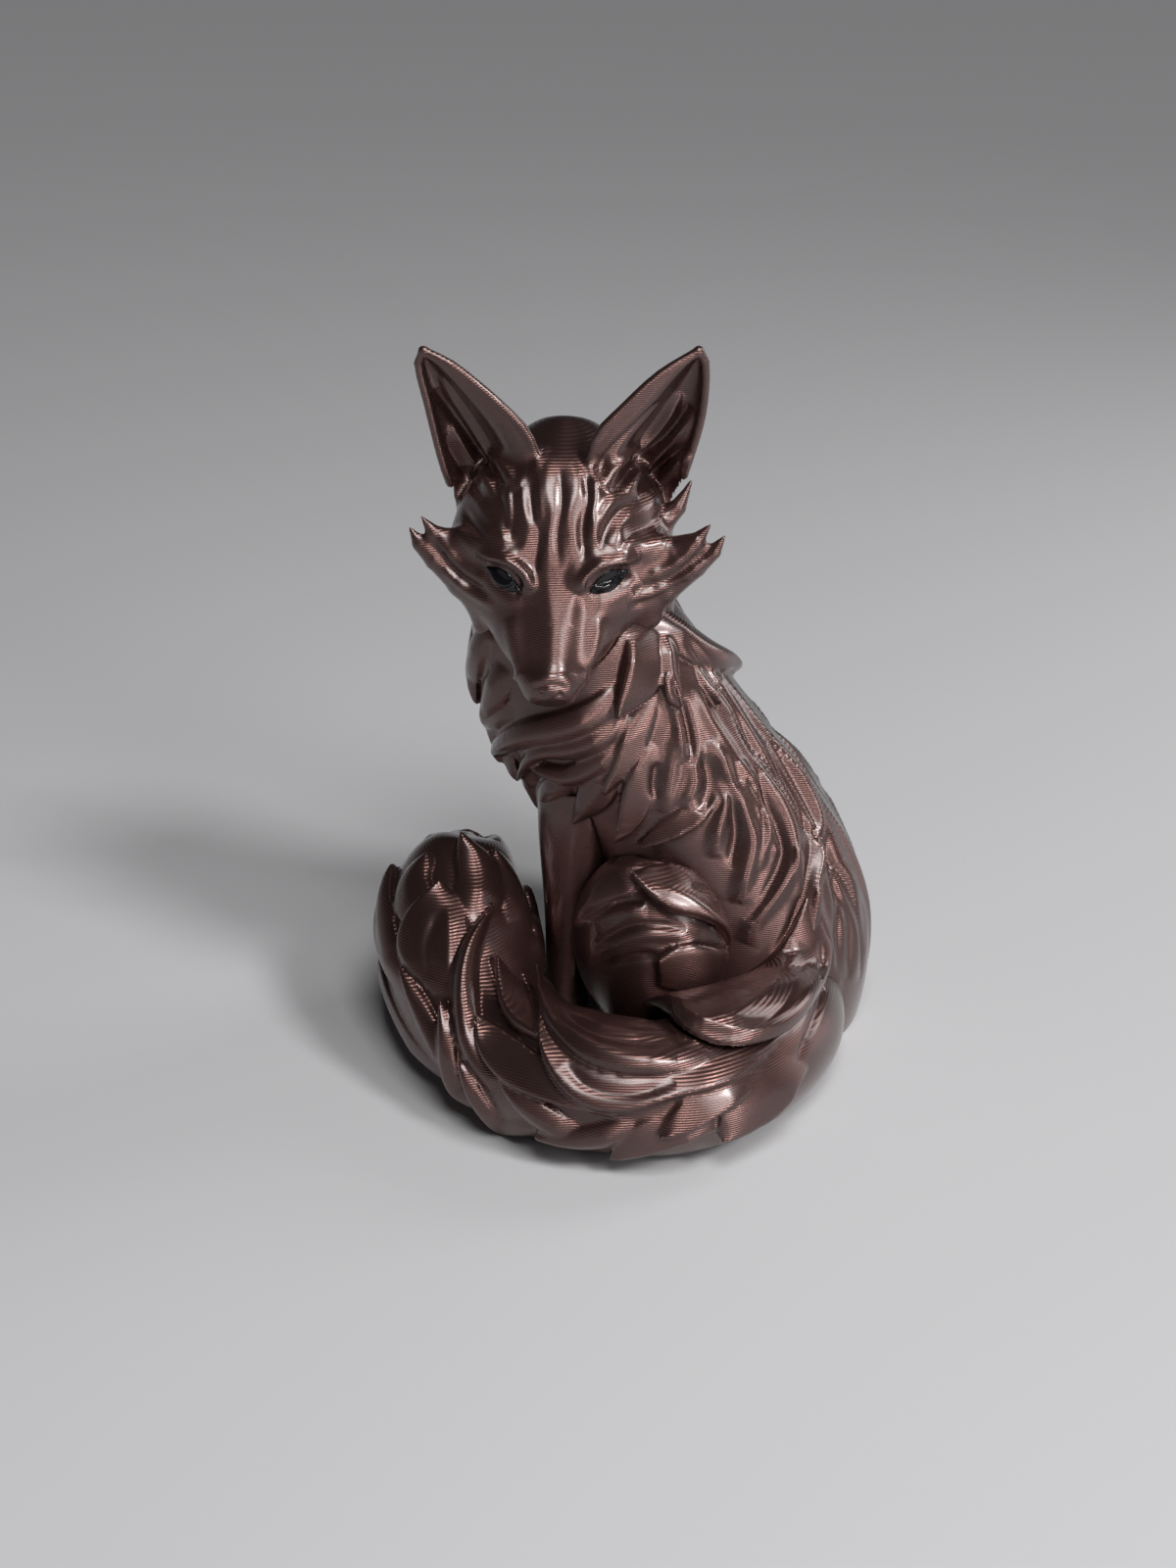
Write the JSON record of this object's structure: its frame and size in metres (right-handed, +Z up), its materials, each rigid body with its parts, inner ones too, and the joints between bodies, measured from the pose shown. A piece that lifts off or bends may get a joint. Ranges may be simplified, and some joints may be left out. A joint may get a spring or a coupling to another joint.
{
  "type": "fox figurine",
  "caption": "Sitting fox figurine in dark brown silk plastic, head turned and bowed, brush curled round its feet, black eyes.",
  "frame": {"origin": "middle of the bounding box, on the floor the fox sits on", "axes": "+Z up, the body faces -X, the face looks towards -Y, so +X is on the left of the face"},
  "size_m": [0.0552, 0.0518, 0.0754],
  "materials": {
    "silk_brown": "silk print",
    "eye_black": "gloss"
  },
  "bodies": {
    "root": {"head": "silk_brown", "nose": "silk_brown", "left_eye": "eye_black", "right_eye": "eye_black", "left_ear": "silk_brown", "right_ear": "silk_brown", "left_ear_tuft": "silk_brown", "right_ear_tuft": "silk_brown", "left_cheek_tuft": "silk_brown", "right_cheek_tuft": "silk_brown", "torso": "silk_brown", "left_foreleg": "silk_brown", "right_foreleg": "silk_brown", "left_forepaw": "silk_brown", "right_forepaw": "silk_brown", "left_haunch": "silk_brown", "right_haunch": "silk_brown", "left_hind_paw": "silk_brown", "right_hind_paw": "silk_brown", "left_mane_locks": "silk_brown", "right_mane_locks": "silk_brown", "chest_locks": "silk_brown", "left_flank_locks": "silk_brown", "right_flank_locks": "silk_brown", "back_locks": "silk_brown", "left_haunch_locks": "silk_brown", "right_haunch_locks": "silk_brown", "tail": "silk_brown", "tail_root_locks": "silk_brown", "tail_upper_locks": "silk_brown", "tail_outer_locks": "silk_brown", "tail_lower_locks": "silk_brown", "tail_inner_locks": "silk_brown"}
  },
  "joints": []
}
